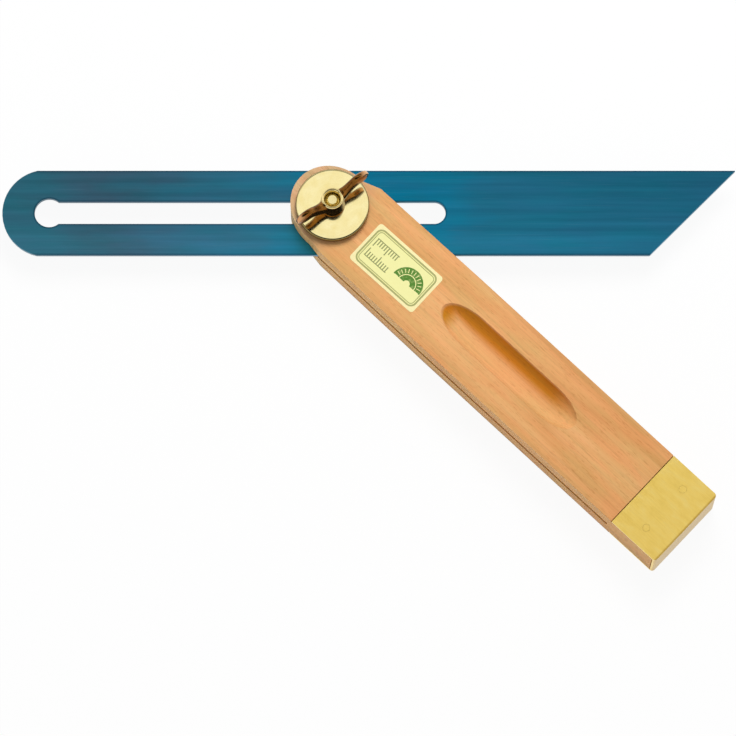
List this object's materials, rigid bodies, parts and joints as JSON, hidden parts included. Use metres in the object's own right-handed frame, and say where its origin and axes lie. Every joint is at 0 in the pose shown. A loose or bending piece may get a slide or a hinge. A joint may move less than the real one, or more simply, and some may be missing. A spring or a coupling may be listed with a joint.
{
  "type": "sliding bevel",
  "caption": "Sliding bevel: slotted steel blade that swings and slides in a sawn wooden stock with a capped butt, clamped by a wing nut.",
  "frame": {"origin": "pivot axis of the clamp bolt, in the plane of the stock's back face, on the bolt's flush head", "axes": "+X along the blade towards its pointed end, +Y across the blade, +Z out of the front face along the bolt; the stock points 43 degrees below +X"},
  "size_m": [0.2499, 0.1365, 0.0386],
  "materials": {
    "beech": "clear satin lacquer over fine straight grain",
    "blued_steel": "blued, brushed lengthwise",
    "brass": "polished"
  },
  "bodies": {
    "stock_body": {"stock": "beech", "end_cap": "brass", "lower_cap_rivet": "brass", "upper_cap_rivet": "brass", "back_washer": "brass"},
    "bolt_body": {"clamp_bolt": "brass"},
    "blade_body": {"blade": "blued_steel"},
    "washer_body": {"front_washer": "brass"},
    "nut_body": {"wing_nut": "brass"}
  },
  "joints": [
    {"name": "blade_pivot", "type": "hinge", "parent": "stock_body", "child": "bolt_body", "pos_m": [0, 0, 0], "axis": [0, 0, 1], "continuous": true},
    {"name": "blade_slide", "type": "slide", "parent": "bolt_body", "child": "blade_body", "axis": [1, 0, 0], "range_m": [-0.0325, 0.0966]},
    {"name": "nut_turn", "type": "hinge", "parent": "bolt_body", "child": "washer_body", "pos_m": [0, 0, 0.0213], "axis": [0, 0, 1], "range_deg": [0, 720]},
    {"name": "nut_travel", "type": "slide", "parent": "washer_body", "child": "nut_body", "axis": [0, 0, 1], "range_m": [0, 0.0016]}
  ],
  "couplings": [
    {"joint": "nut_travel", "follows": "nut_turn", "m_per_rad": 0.00012732}
  ]
}
